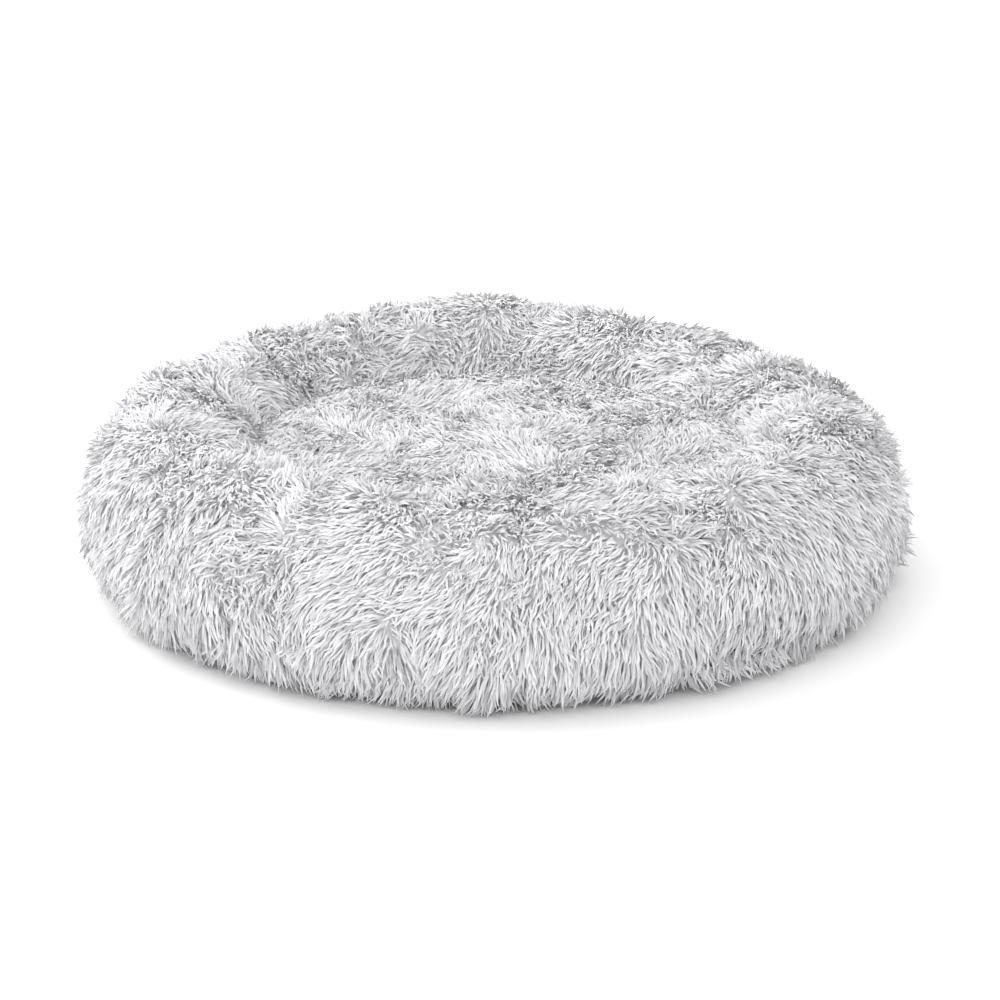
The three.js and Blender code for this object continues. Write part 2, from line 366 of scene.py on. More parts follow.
ring_start = ring_net(pile_depth + slack * edge_hold)
ring_pins = np.zeros((columns, rows))
ring_pins[::columns_per_panel] = 0.5
ring_pins[:, [0, -1]] = 1.0
ring_back = swollen_net("ring net", ring_start, ring_pins, 4.0, 0.012)

# %% [markdown]
# Loose fibre never fills a cover evenly. Broad swellings come from smooth noise, and a few dents
# are put where a hand has pressed the ring or a cross seam pulls in. Each dent is a place on the
# ring (degrees round the bed, degrees round the section), a depth and a width.

# %% Lumps and dents
ring_dents = [
    (-99, 52, 0.009, 0.050),
    (-121, 50, 0.008, 0.055),
    (-53, 49, 0.008, 0.055),
    (-30, 70, 0.006, 0.060),
    (-75, 12, 0.006, 0.070),
    (-150, 60, 0.006, 0.070),
    (104, 135, 0.008, 0.050),
    (88, 135, 0.008, 0.040),
    (95, 95, -0.021, 0.085),
    (112, 95, -0.012, 0.080),
    (65, 90, -0.004, 0.060),
    (35, 80, 0.013, 0.110),
    (12, 75, 0.010, 0.100),
    (178, 138, -0.014, 0.080),
    (150, 138, -0.008, 0.080),
    (170, 30, 0.006, 0.070),
    (-10, 20, 0.006, 0.060),
]


def net_normals(points, closed):
    along_columns = np.roll(points, -1, 0) - np.roll(points, 1, 0) if closed else np.gradient(points, axis=0)
    along_rows = np.gradient(points, axis=1)
    normal = np.cross(along_columns, along_rows)
    return normal / np.linalg.norm(normal, axis=2, keepdims=True)


def smooth_noise(points, wavelength, seed):
    """A value from about -1 to 1 for every point, by Perlin noise."""
    shift = Vector((seed * 3.7, seed * 1.9, seed * 5.3))
    flat = points.reshape(-1, 3) / wavelength
    values = [noise.noise(Vector(p) + shift) for p in flat]
    return np.array(values).reshape(points.shape[:-1])


def place_on_ring(turn, angle, inset=pile_depth):
    radius, height = ring_section(np.array(float(angle)), inset)
    return np.array([radius * math.cos(math.radians(turn)), radius * math.sin(math.radians(turn)), height])


def near(points, place, width):
    """From 1 at place down to 0 a few widths off."""
    distance = np.linalg.norm(points - place, axis=-1)
    return np.exp(-(distance / width) ** 2)


ring_normal = net_normals(ring_back, True)
lift = 0.007 * smooth_noise(ring_back, 0.20, 1) + 0.0045 * smooth_noise(ring_back, 0.085, 2)
lift = lift + np.interp(row_angles, [-45, 30, 80, 110, 125, 150], [0, 0, 0.005, 0.005, 0, 0])
for turn, angle, depth, width in ring_dents:
    lift -= depth * near(ring_back, place_on_ring(turn, angle), width)
ring_back = ring_back + ring_normal * (lift * edge_hold)[..., None]
ring_normal = net_normals(ring_back, True)
print("the ring's back has", columns * rows, "points, lifted from",
      round(lift.min() * 1000, 1), "to", round(lift.max() * 1000, 1), "mm")

# %% [markdown]
# The centre's plush is a round cloth, sewn to the ring along the inner seam, over a cushion that
# pushes it up. It is swollen in the same way, as a net of spokes and rings.

# %% Swell the centre's cover
spokes, hoops = 144, 26
seam_radius, seam_height = (float(x) for x in ring_section(np.array(seam_angle)))
centre_crown = centre_high[2] - pile_depth
hoop_share = np.linspace(0.02, 1.0, hoops)


def centre_net(drop):
    turn = np.radians(np.arange(spokes) * 360.0 / spokes)[:, None]
    radius = (seam_radius - 0.002) * hoop_share
    height = seam_height + (centre_crown - seam_height) * (1 - hoop_share ** 4) - drop
    return np.stack([radius * np.cos(turn), radius * np.sin(turn), height + 0 * turn], axis=2)


centre_start = centre_net(0.004)
centre_pins = np.zeros((spokes, hoops))
centre_pins[:, -1] = 1.0
centre_back = swollen_net("centre net", centre_start, centre_pins, 0.5, 0.010)
centre_normal = -net_normals(centre_back, True)
centre_lift = 0.006 * smooth_noise(centre_back, 0.16, 7) + 0.004 * smooth_noise(centre_back, 0.07, 8)
centre_hold = np.clip((1 - hoop_share) / 0.15, 0, 1)
centre_back = centre_back + centre_normal * (centre_lift * centre_hold)[..., None]
centre_normal = -net_normals(centre_back, True)
if centre_normal[..., 2].mean() < 0:
    centre_normal = -centre_normal
print("the centre's back has", spokes * hoops, "points")

# %% [markdown]
# ## Which way the pile lies
#
# Long pile is combed by hands, by washing and by its own weight. On the flanks it hangs, on the
# crest it falls either way, and in between it has been stroked this way and that. So each point
# of the cover gets a lay, a direction in the surface: the way downhill, plus smooth noise, plus a
# list of strokes. A stroke with a heading combs the pile along it, in degrees from downhill towards
# a larger angle round the bed; one without is a parting, where the locks splay away on all sides.

# %% Lay of the pile
strokes = [
    # degrees round the bed, round the section, heading, width in metres, strength
    (-109, 33, -70, 0.085, 1.6),
    (-95, 20, -50, 0.080, 1.3),
    (-77, 20, -35, 0.090, 1.3),
    (-85, -11, 10, 0.090, 0.8),
    (-60, 5, -20, 0.080, 1.0),
    (-40, 9, 0, 0.100, 1.6),
    (-35, 50, 15, 0.080, 1.0),
    (-20, 20, 10, 0.100, 1.0),
    (-140, 10, 20, 0.100, 1.0),
    (-160, 20, 0, 0.120, 1.0),
    (-121, 50, None, 0.045, 1.0),
    (-53, 49, None, 0.050, 1.0),
    (-66, 25, None, 0.040, 0.8),
    (-104, 5, None, 0.045, 0.8),
    (60, 60, None, 0.050, 1.0),
    (20, 40, None, 0.050, 1.0),
    (150, 40, None, 0.050, 1.0),
    (175, 20, None, 0.050, 1.0),
]

# Where the pile is ruffled: degrees round the bed and the section, width, strength
scruffs = [
    (-99, 52, 0.026, 1.0),
    (-126, 16, 0.034, 0.8),
    (-118, 44, 0.024, 0.7),
    (-88, 24, 0.020, 0.5),
    (-53, 45, 0.022, 0.6),
    (-70, 58, 0.020, 0.5),
    (-92, 2, 0.030, 0.5),
    (88, 132, 0.026, 1.0),
    (104, 125, 0.022, 0.7),
    (60, 110, 0.022, 0.6),
    (-15, 130, 0.024, 0.7),
    (40, 30, 0.030, 0.7),
    (130, 50, 0.030, 0.7),
    (165, 15, 0.030, 0.6),
]


def unit(vectors):
    return vectors / np.maximum(np.linalg.norm(vectors, axis=-1, keepdims=True), 1e-9)


def in_surface(vectors, normal):
    return vectors - normal * np.sum(vectors * normal, axis=-1, keepdims=True)


def noise_vectors(points, wavelength, seed):
    return np.stack([smooth_noise(points, wavelength, seed + k) for k in range(3)], axis=-1)


def lay_of(points, normal, weight, stray, seed):
    """Downhill by `weight`, plus noise by `stray`, in the surface."""
    downhill = in_surface(np.array([0, 0, -1.0]) + 0 * normal, normal)
    wander = noise_vectors(points, 0.13, seed) + 0.6 * noise_vectors(points, 0.05, seed + 5)
    return weight * downhill + stray * in_surface(wander, normal)


ring_lay = lay_of(ring_back, ring_normal, 0.6, 2.2, 11)
downhill = unit(in_surface(np.array([0, 0, -1.0]) + 0 * ring_normal, ring_normal))
sideways = np.cross(ring_normal, downhill)
for turn, angle, heading, width, strength in strokes:
    place = place_on_ring(turn, angle)
    share = near(ring_back, place, width)[..., None]
    if heading is None:
        away = unit(in_surface(ring_back - place, ring_normal))
        ring_lay = ring_lay + strength * share * away
    else:
        stroke = math.cos(math.radians(heading)) * downhill + math.sin(math.radians(heading)) * sideways
        ring_lay = ring_lay * (1 - 0.7 * share) + strength * share * stroke
ring_scruff = np.clip(smooth_noise(ring_back, 0.055, 41) * 2.2 - 1.0, 0, 1) * 0.5
for turn, angle, width, strength in scruffs:
    ring_scruff = np.maximum(ring_scruff, strength * near(ring_back, place_on_ring(turn, angle), width))
centre_scruff = np.clip(smooth_noise(centre_back, 0.055, 43) * 2.2 - 1.0, 0, 1) * 0.5
centre_lay = lay_of(centre_back, centre_normal, 0.5, 2.0, 31)
from_seam = np.interp(row_angles, [-45, 125, 145, 150], [0, 0, 0.25, 0.25])[:, None]
ring_lay = ring_lay * (1 - 0.6 * from_seam) - from_seam * downhill
inward = unit(in_surface(-centre_back * np.array([1, 1, 0]), centre_normal))
from_seam = np.interp(hoop_share, [0, 0.80, 0.93, 1.0], [0, 0, 1.0, 1.0])[:, None]
centre_lay = centre_lay * (1 - 0.6 * from_seam) + from_seam * inward
ring_lay, centre_lay = (lay / np.maximum(np.linalg.norm(lay, axis=-1, keepdims=True), 1.0)
                        for lay in (ring_lay, centre_lay))
print("lay set with", len(strokes), "strokes")

# %% [markdown]
# ## The pile
#
# Each lock of this plush is a bundle of fine fibre, about 3 mm wide, 30 mm long and drawn to a
# point. A shader can't stand in for it, because the outline of the bed is made of it, so every lock
# is a small mesh. Geometry Nodes scatters points over the woven back, puts a line on each, bends it
# from the surface's normal over to the lay with a little waviness, and sweeps a flat, tapering
# triangle along it, open at both ends. The tree has named inputs, so the ring and the centre share it.

# %% Build the pile's tree
pile_inputs = {
    "Locks per m2": ("NodeSocketFloat", 5000.0),
    "Length": ("NodeSocketFloat", 0.0295),
    "Width": ("NodeSocketFloat", 0.0038),
    "Rise": ("NodeSocketFloat", 0.9),
    "Droop": ("NodeSocketFloat", 0.25),
    "Stray": ("NodeSocketFloat", 0.7),
    "Wave": ("NodeSocketFloat", 0.0022),
    "Seed": ("NodeSocketInt", 1),
    "Finish": ("NodeSocketMaterial", None),
}
points_per_lock = 4
lowest_point = 0.0025
squash_above = 0.266
squash_share = 0.5


def new_tree(name, inputs):
    """A Geometry Nodes tree with its named inputs; gives the tree, their wires and two helpers."""
    tree = bpy.data.node_groups.new(name, "GeometryNodeTree")
    tree.interface.new_socket("Geometry", in_out="INPUT", socket_type="NodeSocketGeometry")
    for label, (kind, value) in inputs.items():
        socket = tree.interface.new_socket(label, in_out="INPUT", socket_type=kind)
        if value is not None:
            socket.default_value = value
    tree.interface.new_socket("Result", in_out="OUTPUT", socket_type="NodeSocketGeometry")
    given = tree.nodes.new("NodeGroupInput")
    wires = {socket.name: Wire(tree, socket) for socket in given.outputs if socket.name}

    def made(kind, settings=None, inputs=None, output=0):
        return add_node(tree, kind, settings, inputs, output)

    def finished(geometry):
        geometry = made("GeometryNodeRealizeInstances", {}, {"Geometry": geometry})
        geometry = made("GeometryNodeSetShadeSmooth", {}, {"Geometry": geometry})
        geometry = made("GeometryNodeSetMaterial", {}, {"Geometry": geometry, "Material": wires["Finish"]})
        tree.links.new(geometry.socket, tree.nodes.new("NodeGroupOutput").inputs["Result"])
        return tree

    return wires, made, finished


def build_pile_tree():
    wire, made, finished = new_tree("pile", pile_inputs)

    def attribute(name, kind="FLOAT_VECTOR"):
        return made("GeometryNodeInputNamedAttribute", {"data_type": kind}, {"Name": name})

    def store(geometry, name, value, kind="FLOAT"):
        settings = {"data_type": kind, "domain": "POINT"}
        return made("GeometryNodeStoreNamedAttribute", settings,
                    {"Geometry": geometry, "Name": name, "Value": value})

    def chance(low, high, seed):
        return made("FunctionNodeRandomValue", {"data_type": "FLOAT"}, {2: low, 3: high, "Seed": seed}, 1)

    def turned(vector, operation="NORMALIZE", *more):
        inputs = {0: vector, **{1 + k: other for k, other in enumerate(more)}}
        return made("ShaderNodeVectorMath", {"operation": operation}, inputs)

    roots = made("GeometryNodeDistributePointsOnFaces", {"distribute_method": "RANDOM"},
                 {"Mesh": wire["Geometry"], "Density": wire["Locks per m2"], "Seed": wire["Seed"]})
    scatter = made("FunctionNodeRandomValue", {"data_type": "FLOAT_VECTOR"},
                   {0: (-1.0, -1.0, -1.0), 1: (1.0, 1.0, 1.0), "Seed": wire["Seed"] + 1})
    roots = store(roots, "root", made("GeometryNodeInputPosition"), "FLOAT_VECTOR")
    roots = store(roots, "odd", scatter, "FLOAT_VECTOR")
    roots = store(roots, "grain", chance(0.0, 1.0, wire["Seed"] + 2))
    roots = store(roots, "size", chance(0.7, 1.25, wire["Seed"] + 3))

    line = made("GeometryNodeCurvePrimitiveLine", {}, {"End": (0.0, 0.0, 0.01)})
    line = made("GeometryNodeResampleCurve", {}, {"Curve": line, "Count": points_per_lock})
    locks = made("GeometryNodeInstanceOnPoints", {}, {"Points": roots, "Instance": line})
    locks = made("GeometryNodeRealizeInstances", {}, {"Geometry": locks})
    along = made("GeometryNodeSplineParameter")
    locks = store(locks, "tip", along)

    root, rise, lay, odd = (attribute(name) for name in ("root", "rise", "lay", "odd"))
    size, grain = attribute("size", "FLOAT"), attribute("grain", "FLOAT")
    depth, scruff = attribute("depth", "FLOAT"), attribute("scruff", "FLOAT")
    eddy = made("ShaderNodeTexNoise", {}, {"Vector": root, "Scale": 34.0, "Detail": 2.0}, "Color")
    eddy = (eddy - (0.5, 0.5, 0.5)) * 4.4
    stray = (eddy + odd * 0.5) * wire["Stray"] + odd * (scruff * 1.5)
    first = turned(rise * wire["Rise"] + lay * 0.8 + stray * 0.6)
    down = made("FunctionNodeInputVector", {"vector": (0.0, 0.0, -1.0)})
    last = turned(rise * 0.22 + lay * 1.2 + stray + down * wire["Droop"])
    length = wire["Length"] * size * depth
    bend = along * along * 0.5
    reach = (first * (along - bend) + last * bend) * length
    side = turned(turned(last, "CROSS_PRODUCT", rise))
    swing = made("ShaderNodeMath", {"operation": "SINE"}, {0: along * 5.5 + grain * 40.0})
    reach = reach + side * (swing * along * wire["Wave"])
    # No lock goes into the floor, and the highest on the crest are pressed down, so that the pile
    # stays near the engineering model's height.
    bent = turned(root + reach, "MAXIMUM", (-9.0, -9.0, lowest_point))
    too_high = turned(bent - (9.0, 9.0, squash_above), "MAXIMUM", (0.0, 0.0, 0.0))
    bent = bent - too_high * squash_share
    locks = made("GeometryNodeSetPosition", {}, {"Geometry": locks, "Position": bent})
    locks = made("GeometryNodeSetCurveTilt", {}, {"Curve": locks, "Tilt": grain * 12.0})

    outline = made("GeometryNodeCurvePrimitiveCircle", {"mode": "RADIUS"},
                   {"Resolution": 3, "Radius": 0.5})
    outline = made("GeometryNodeTransform", {}, {"Geometry": outline, "Scale": (1.0, 0.55, 1.0)})
    belly = (along + 0.16) * (1.0 - along * along) * 2.1 + 0.03
    locks = made("GeometryNodeCurveToMesh", {},
                 {"Curve": locks, "Profile Curve": outline, "Scale": belly * size * wire["Width"]})
    soft_normal = turned(made("GeometryNodeInputNormal") * 0.15 + turned(rise * 0.8 + last * 0.25) * 0.85)
    locks = made("GeometryNodeSetMeshNormal", {"mode": "FREE", "domain": "POINT"},
                 {"Mesh": locks, "Custom Normal": soft_normal})
    for name in ("root", "odd", "rise", "lay", "size", "depth", "scruff"):
        locks = made("GeometryNodeRemoveAttribute", {}, {"Geometry": locks, "Name": name})
    return finished(locks)


pile_tree = build_pile_tree()
print("the pile's tree has", len(pile_tree.nodes), "nodes")


# %% [markdown]
# To grow pile on a piece of cover, a net of its back is made with four attributes: rise, the smooth
# normal; lay; and depth, which shortens the locks in the seams. The tree's result is turned into a
# plain mesh, and the net is thrown away.

# %% Grow pile on a net
def set_inputs(modifier, tree, values):
    """A modifier's inputs are set by each socket's identifier, before it is first evaluated."""
    for item in tree.interface.items_tree:
        if item.item_type == "SOCKET" and item.in_out == "INPUT" and item.name in values:
            modifier[item.identifier] = values[item.name]


def plain_mesh(piece, name):
    """The evaluated piece as an object with a plain mesh; the first one is removed."""
    depsgraph = bpy.context.evaluated_depsgraph_get()
    mesh = bpy.data.meshes.new_from_object(piece.evaluated_get(depsgraph), depsgraph=depsgraph)
    mesh.name = name
    bpy.data.objects.remove(piece)
    result = bpy.data.objects.new(name, mesh)
    bpy.context.scene.collection.objects.link(result)
    return result


def grow_pile(name, points, faces, attributes, finish, **values):
    net = new_piece(name + " net", points.reshape(-1, 3), faces, None)
    for attribute, data in attributes.items():
        kind = "FLOAT" if data.ndim == points.ndim - 1 else "FLOAT_VECTOR"
        layer = net.data.attributes.new(attribute, kind, "POINT")
        layer.data.foreach_set("value" if kind == "FLOAT" else "vector", data.astype(np.float32).ravel())
    modifier = net.modifiers.new("pile", "NODES")
    modifier.node_group = pile_tree
    named = {key.replace("_", " "): value for key, value in values.items()}
    set_inputs(modifier, pile_tree, {**named, "Finish": finish.material})
    pile = plain_mesh(net, name)
    triangles = sum(len(p.vertices) - 2 for p in pile.data.polygons)
    print(name, "has", len(pile.data.vertices) // (3 * points_per_lock), "locks,", triangles, "triangles")
    return pile


# %% [markdown]
# The plush is a cool, very pale grey. A lock is darkest at its root, where little light gets in,
# and nearly white along its belly and at its point. No two locks are quite alike, and broad, faint
# patches come from the way the dye took. Soft fibre scatters light, so it has some sheen and no gloss.

# %% Finish of the pile
def plush_finish(name, root, belly, point):
    finish = Finish(name, Roughness=0.85, Sheen_Weight=0.35, Sheen_Roughness=0.4, Specular_IOR_Level=0.25)
    tip, grain = finish.attribute("tip"), finish.attribute("grain")
    colour = finish.blend(finish.clamp(tip, 0.02, 0.45), root, belly)
    colour = finish.blend(finish.clamp(tip, 0.45, 0.95), colour, point)
    tone = grain * 0.09 + finish.noise(9.0, 2.0) * 0.11 + 0.88
    finish.wear("Base Color", colour * tone)
    return finish


plush = plush_finish("plush pile", (0.78, 0.78, 0.81), (0.83, 0.83, 0.852), (0.86, 0.86, 0.875))

# %% [markdown]
# The woven back itself is a thin closed shell under the pile, one for each of the twelve panels.
# What shows of it between the locks stands for the short, dense underfur. Its finish is painted
# darker than the pile, as painted shade deep in the gaps between the locks, and broken up by fine noise.

# %% Backs of the ring's panels and of the centre
def shell(name, outer, thickness, material, normals):
    """A closed shell under a net (column, row, xyz), as thick as thickness."""
    across, along = outer.shape[:2]
    inner = outer - normals * thickness
    faces = grid_faces(across, along, False)
    count = across * along
    faces = faces + [tuple(v + count for v in face[::-1]) for face in faces]
    loops = [[i * along for i in range(across)], [i * along + along - 1 for i in range(across)]]
    for number, loop in enumerate(loops):
        for a, b in zip(loop, loop[1:]):
            quad = (a, b, b + count, a + count)
            faces.append(quad[::-1] if number == 0 else quad)
    first, last = list(range(along)), [(across - 1) * along + k for k in range(along)]
    for a, b in zip(first, first[1:]):
        faces.append((a, b, b + count, a + count))
    for a, b in zip(last, last[1:]):
        faces.append((b, a, a + count, b + count))
    points = np.concatenate([outer.reshape(-1, 3), inner.reshape(-1, 3)])
    return recalculated(new_piece(name, points, faces, material))


back_thickness = 0.0012
shaded_underfur = Finish("plush underfur", Roughness=0.95, Sheen_Weight=0.3)
underfur_tone = shaded_underfur.clamp(shaded_underfur.noise(180.0, 3.0), 0.3, 0.7)
# Painted shade: these two greys are darker than the pile, for the shade deep between the locks.
shaded_underfur.wear("Base Color", shaded_underfur.blend(underfur_tone, (0.64, 0.64, 0.66), (0.80, 0.80, 0.82)))


def panel_columns(number):
    first = number * columns_per_panel
    return np.arange(first, first + columns_per_panel + 1) % columns


for number in range(panel_count):
    own = panel_columns(number)
    back = shell(f"rim_skin_{number + 1}", ring_back[own], back_thickness,
                 shaded_underfur.material, ring_normal[own])
    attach(back, "bed")
    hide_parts(f"rim_panel_{number + 1}")

# %% Pile on the ring
ring_depth = np.ones((columns, rows))
ring_depth *= np.interp(row_angles, [-45, -20, 5, 40, 75, 120, 150], [1.4, 1.25, 1.0, 0.95, 0.82, 0.92, 0.9])
ring_depth *= (1 + 0.18 * smooth_noise(ring_back, 0.09, 21)) * (1 - 0.35 * ring_scruff)
pile_density = 56500.0

for number in range(panel_count):
    own = panel_columns(number)
    faces = grid_faces(len(own), rows, False)
    attributes = {"rise": ring_normal[own], "lay": ring_lay[own],
                  "depth": ring_depth[own], "scruff": ring_scruff[own]}
    pile = grow_pile(f"rim_pile_{number + 1}", ring_back[own], faces, attributes, plush,
                     Locks_per_m2=pile_density, Seed=100 + 10 * number)
    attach(pile, "bed")

# %% Pile on the centre
centre_depth = np.interp(hoop_share, [0, 0.78, 0.92, 1.0], [1.0, 0.95, 0.6, 0.25])
centre_depth = centre_depth * (1 + 0.15 * smooth_noise(centre_back, 0.09, 22))
thirds = [np.arange(first, first + spokes // 3 + 1) % spokes for first in range(0, spokes, spokes // 3)]
for number, own in enumerate(thirds):
    faces = [face[::-1] for face in grid_faces(len(own), hoops, False)]
    attributes = {"rise": centre_normal[own], "lay": centre_lay[own],
                  "depth": centre_depth[own], "scruff": centre_scruff[own]}
    pile = grow_pile(f"centre_pile_{number + 1}", centre_back[own], faces, attributes, plush,
                     Locks_per_m2=pile_density, Length=0.025, Width=0.0034, Seed=500 + 10 * number)
    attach(pile, "bed")

# %% Back of the centre
def disc(name, outer, thickness, material, normals):
    """A closed shell under a round net of spokes and hoops, with its middle filled in."""
    across, along = outer.shape[:2]
    inner = outer - normals * thickness
    count = across * along
    top = [face[::-1] for face in grid_faces(across, along, True)]
    faces = top + [tuple(v + count for v in face[::-1]) for face in top]
    edge = [i * along + along - 1 for i in range(across)]
    faces += [(a, b, b + count, a + count)[::-1] for a, b in zip(edge, edge[1:] + edge[:1])]
    middle = [i * along for i in range(across)]
    faces += [tuple(middle), tuple(v + count for v in middle[::-1])]
    points = np.concatenate([outer.reshape(-1, 3), inner.reshape(-1, 3)])
    return recalculated(new_piece(name, points, faces, material))


centre_skin = disc("centre_skin", centre_back, back_thickness, shaded_underfur.material, centre_normal)
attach(centre_skin, "bed")
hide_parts("centre_panel")

# %% [markdown]
# ## The bags of fibre
#
# Inside the cover are two cotton liners, a ring and a cushion, each full of hollow fibre and sewn
# shut by hand where it was stuffed. They fill whatever shape the cover takes, so they are built
# from the same swollen nets, a little further in, and closed underneath along the base and the
# wall of the well.

# %% Sections that go round the bed
under_angles = np.arange(-90.0, hem_angle - 5, 7.5)
wall_radius, wall_top = wall_high[0], wall_high[2]
zip_room = 0.004


def turned_round(section, turns=column_angles):
    """A section of (distance from the axis, height) carried to every column's angle."""
    radius, height = np.array(section, dtype=float).T
    turn = np.radians(turns)[:, None]
    return np.stack([radius * np.cos(turn), radius * np.sin(turn), height + 0 * turn], axis=2)


def closed_ring(name, net, material):
    """A tube round the bed: the net's rows close on themselves, and so do its columns."""
    across, along = net.shape[:2]
    faces = [(i * along + k, i * along + (k + 1) % along,
              (i + 1) % across * along + (k + 1) % along, (i + 1) % across * along + k)
             for i in range(across) for k in range(along)]
    return recalculated(new_piece(name, net.reshape(-1, 3), faces, material))


def closed_cushion(name, net, material):
    """A round body: rows run from the middle of the top, over the edge, to the middle below."""
    across, along = net.shape[:2]
    faces = grid_faces(across, along, True)
    faces += [tuple(i * along for i in range(across)), tuple(i * along + along - 1 for i in range(across))]
    return recalculated(new_piece(name, net.reshape(-1, 3), faces, material))


def bag(make, name, outer, inner, material):
    """The outer skin with the inner one, turned inside out, joined to it."""
    skin, lining = make(name, outer, material), make(name + "_lining", inner, material)
    lining.data.flip_normals()
    with bpy.context.temp_override(active_object=skin, selected_editable_objects=[skin, lining]):
        bpy.ops.object.join()
    return skin


def soft(piece, node):
    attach(piece, "bed")
    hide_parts(node)


# %% Cotton and fibre
cotton = Finish("liner cotton", Roughness=0.9, Sheen_Weight=0.15)
warp = cotton.node("ShaderNodeTexWave", {"bands_direction": "Z"}, {"Vector": cotton.place(), "Scale": 380.0})
weft = cotton.node("ShaderNodeTexWave", {"bands_direction": "X"}, {"Vector": cotton.place(), "Scale": 380.0})
cotton.bump(warp + weft, 0.3, 0.0003)
cotton.wear("Base Color", cotton.blend(cotton.noise(14.0, 4.0), (0.74, 0.72, 0.68), (0.84, 0.82, 0.78)))

fibre = Finish("hollow fibre", Roughness=1.0, Sheen_Weight=0.4)
clumps = fibre.noise(60.0, 6.0)
fibre.bump(clumps, 0.6, 0.004)
fibre.wear("Base Color", fibre.blend(fibre.clamp(clumps, 0.3, 0.7), (0.78, 0.78, 0.77), (0.92, 0.92, 0.91)))


# %% The ring's liner and fibre
def ring_insert(depth, gap):
    """Over the top along the swollen net, then back along the wall and the base."""
    over = (ring_back - ring_normal * depth)[:, 1:-1]
    wall, low = wall_radius + gap, base_thickness + gap
    radius, height = ring_section(under_angles, pile_depth + gap + zip_room)
    under = list(zip(radius, np.maximum(height, low)))
    section = [(wall, wall_top - 0.008), (wall, 0.11), (wall, 0.05), (wall, low), (wall + 0.05, low), *under]
    return np.concatenate([over, turned_round(section)], axis=1)


cloth = 0.0008
rim_liner = bag(closed_ring, "rim_liner_bag", ring_insert(0.0030, 0.0022),
                ring_insert(0.0030 + cloth, 0.0022 + cloth), cotton.material)
soft(rim_liner, "rim_liner")
rim_fill = closed_ring("rim_fill_fibre", ring_insert(0.0044, 0.0036), fibre.material)
soft(rim_fill, "rim_fill")
print("the ring's fibre has", len(rim_fill.data.polygons), "faces")


# %% The centre's liner and fibre
def centre_insert(depth, gap):
    over = (centre_back - centre_normal * depth)[:, :-2]
    edge, low = wall_low[0] * -1 - 0.0036 - gap, base_thickness + gap
    section = [(edge, wall_top - 0.016 - gap), (edge, 0.10), (edge, 0.05), (edge, low)]
    section += [(edge * share, low) for share in (0.7, 0.4, 0.15, 0.03)]
    turns = np.arange(spokes) * 360.0 / spokes
    return np.concatenate([over, turned_round(section, turns)], axis=1)


centre_liner = bag(closed_cushion, "centre_liner_bag", centre_insert(0.0022, 0.0006),
                   centre_insert(0.0022 + cloth, 0.0006 + cloth), cotton.material)
soft(centre_liner, "centre_liner")
centre_fill = closed_cushion("centre_fill_fibre", centre_insert(0.0036, 0.0020), fibre.material)
soft(centre_fill, "centre_fill")
print("the centre's fibre has", len(centre_fill.data.polygons), "faces")

# %% [markdown]
# ## Cloth that is cut flat
#
# The base, the wall of the well, the tapes behind the seams and the care label are flat cuts of
# cloth, held by their stitches. Each is a thin closed shell. The base is a water-proofed Oxford
# cloth, and its border turns up to the plush's hem, where it leaves a gap for the zip.

# %% Base cloth
oxford = Finish("base Oxford cloth", Roughness=0.75)
where = oxford.place()
warp = oxford.node("ShaderNodeTexWave", {"bands_direction": "X"}, {"Vector": where, "Scale": 210.0})
weft = oxford.node("ShaderNodeTexWave", {"bands_direction": "Y"}, {"Vector": where, "Scale": 210.0})
oxford.bump(warp * weft + oxford.noise(900.0, 1.0) * 0.3, 0.5, 0.0004)
oxford_tone = oxford.clamp(warp * weft + oxford.noise(6.0, 3.0), 0.4, 1.3)
oxford.wear("Base Color", oxford.blend(oxford_tone, (0.19, 0.195, 0.21), (0.27, 0.275, 0.29)))


def flat_cut(piece, node):
    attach(piece, "bed")
    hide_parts(node)


zip_angle, zip_start, zip_end = -54.0, 25.0, 155.0
zip_near = np.array([ring_section(np.array(zip_angle + step)) for step in (-0.5, 0.5)])
zip_middle = np.array(ring_section(np.array(zip_angle)))
metres_per_degree = np.linalg.norm(zip_near[1] - zip_near[0])
zip_across = (zip_near[1] - zip_near[0]) / metres_per_degree
zip_out = np.array([zip_across[1], -zip_across[0]])
border_end = zip_angle - 0.0101 / metres_per_degree
base_rows = 12


def base_net(out):
    """The base at `out` metres outside the cover's line, from its middle to the end of its border."""
    net = []
    for turn in column_angles:
        end = border_end if zip_start - 2 < turn < zip_end + 2 else hem_angle - 0.35
        angles = np.linspace(-90, end, base_rows)
        before, after = (np.array(ring_section(angles + step)).T for step in (-0.5, 0.5))
        along = (after - before) / np.linalg.norm(after - before, axis=1, keepdims=True)
        edge = np.array(ring_section(angles)).T + out * np.stack([along[:, 1], -along[:, 0]], axis=1)
        flat = [(share * crest_radius, base_thickness - out) for share in (0.02, 0.2, 0.4, 0.6, 0.8, 0.92)]
        net.append(turned_round(flat + [tuple(point) for point in edge], np.array([turn]))[0])
    return np.array(net)


def closed_dish(name, upper, lower, material):
    """A thin round shell between two nets of spokes and hoops."""
    across, along = upper.shape[:2]
    count = across * along
    faces = grid_faces(across, along, True)
    faces += [tuple(v + count for v in face) for face in faces]
    edge = [i * along + along - 1 for i in range(across)]
    faces += [(a, b, b + count, a + count) for a, b in zip(edge, edge[1:] + edge[:1])]
    middle = tuple(i * along for i in range(across))
    faces += [middle, tuple(v + count for v in middle)]
    points = np.concatenate([upper.reshape(-1, 3), lower.reshape(-1, 3)])
    return recalculated(new_piece(name, points, faces, material))


base_cloth = closed_dish("base_cloth", base_net(0.0001), base_net(0.0007), oxford.material)
flat_cut(base_cloth, "base_panel")

